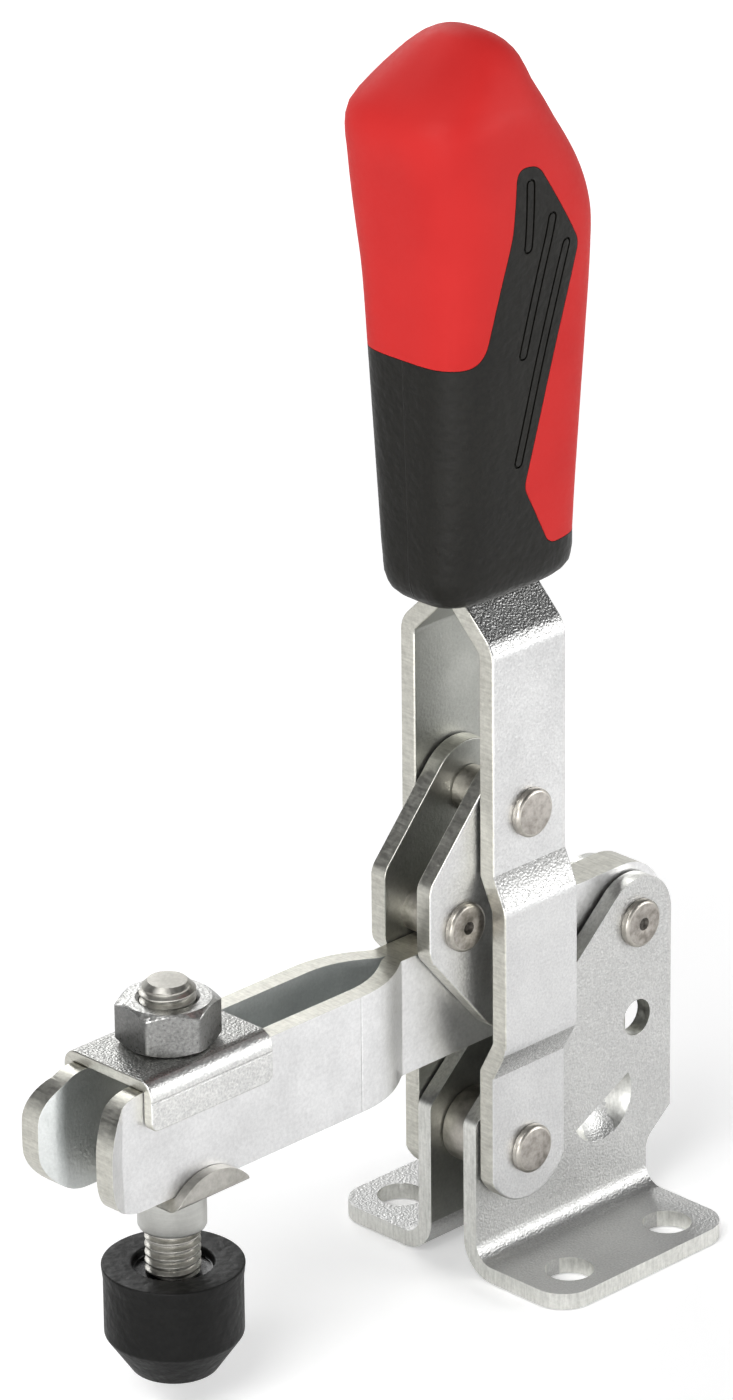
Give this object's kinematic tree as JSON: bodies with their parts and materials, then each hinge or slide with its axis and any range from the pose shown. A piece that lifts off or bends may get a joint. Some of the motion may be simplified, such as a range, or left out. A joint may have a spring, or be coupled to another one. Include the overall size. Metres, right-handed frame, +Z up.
{
  "type": "toggle clamp",
  "caption": "Vertical-handle toggle clamp with a horizontal foot base, an open slotted arm, a rubber-capped pressure screw and a two-colour grip.",
  "frame": {"origin": "on the base plane, in the middle of the four foot holes", "axes": "+Z up, -X along the arm towards the pressure screw, Y across the clamp"},
  "size_m": [0.1155, 0.0468, 0.1889],
  "materials": {
    "plated_sheet": "bright zinc-plated sheet, satin with a fine speckle",
    "plated_fittings": "zinc-plated, satin",
    "rivet_steel": "plain turned steel",
    "saddle_steel": "plain pressed steel",
    "grip_black": "fine-grained matt",
    "grip_red": "smooth matt",
    "foot_rubber": "moulded, dull"
  },
  "bodies": {
    "base": {"base_bracket_near": "plated_sheet", "base_bracket_far": "plated_sheet", "handle_pivot_spacer": "rivet_steel", "handle_pivot_pin": "rivet_steel", "arm_pivot_pin": "rivet_steel"},
    "arm": {"arm_plate_near": "plated_sheet", "arm_plate_far": "plated_sheet"},
    "link": {"link_plate_near": "plated_sheet", "link_plate_far": "plated_sheet", "arm_link_pin": "rivet_steel", "stop_pin": "rivet_steel", "link_top_pin": "rivet_steel"},
    "handle": {"handle_plate_near": "plated_sheet", "handle_plate_far": "plated_sheet", "handle_link_pin": "rivet_steel", "grip_core": "grip_black", "grip_shell": "grip_red"},
    "carriage": {"saddle_clip": "plated_fittings", "lower_saddle": "saddle_steel", "threaded_sleeve": "plated_fittings"},
    "spindle": {"clamping_screw": "plated_fittings", "rubber_foot": "foot_rubber"},
    "nut": {"lock_nut": "plated_fittings"}
  },
  "joints": [
    {"name": "handle_swing", "type": "hinge", "parent": "base", "child": "handle", "pos_m": [-0.0102, 0, 0.0193], "axis": [0, 1, 0], "range_deg": [0, 60]},
    {"name": "arm_swing", "type": "hinge", "parent": "base", "child": "arm", "pos_m": [0.0159, 0, 0.0453], "axis": [0, 1, 0], "range_deg": [0, 107.7]},
    {"name": "link_swing", "type": "hinge", "parent": "arm", "child": "link", "pos_m": [-0.0102, 0, 0.0453], "axis": [0, 1, 0], "range_deg": [0, 46.2]},
    {"name": "carriage_slide", "type": "slide", "parent": "arm", "child": "carriage", "axis": [1, 0, 0], "range_m": [-0.003, 0.017]},
    {"name": "screw_height", "type": "slide", "parent": "carriage", "child": "spindle", "axis": [0, 0, 1], "range_m": [-0.0025, 0.0045]},
    {"name": "lock_nut_turn", "type": "hinge", "parent": "carriage", "child": "nut", "pos_m": [-0.0726, 0, 0.0585], "axis": [0, 0, 1], "continuous": true}
  ],
  "couplings": [
    {"joint": "arm_swing", "follows": "handle_swing", "ratio": 1.7946},
    {"joint": "link_swing", "follows": "handle_swing", "ratio": 0.7689}
  ]
}
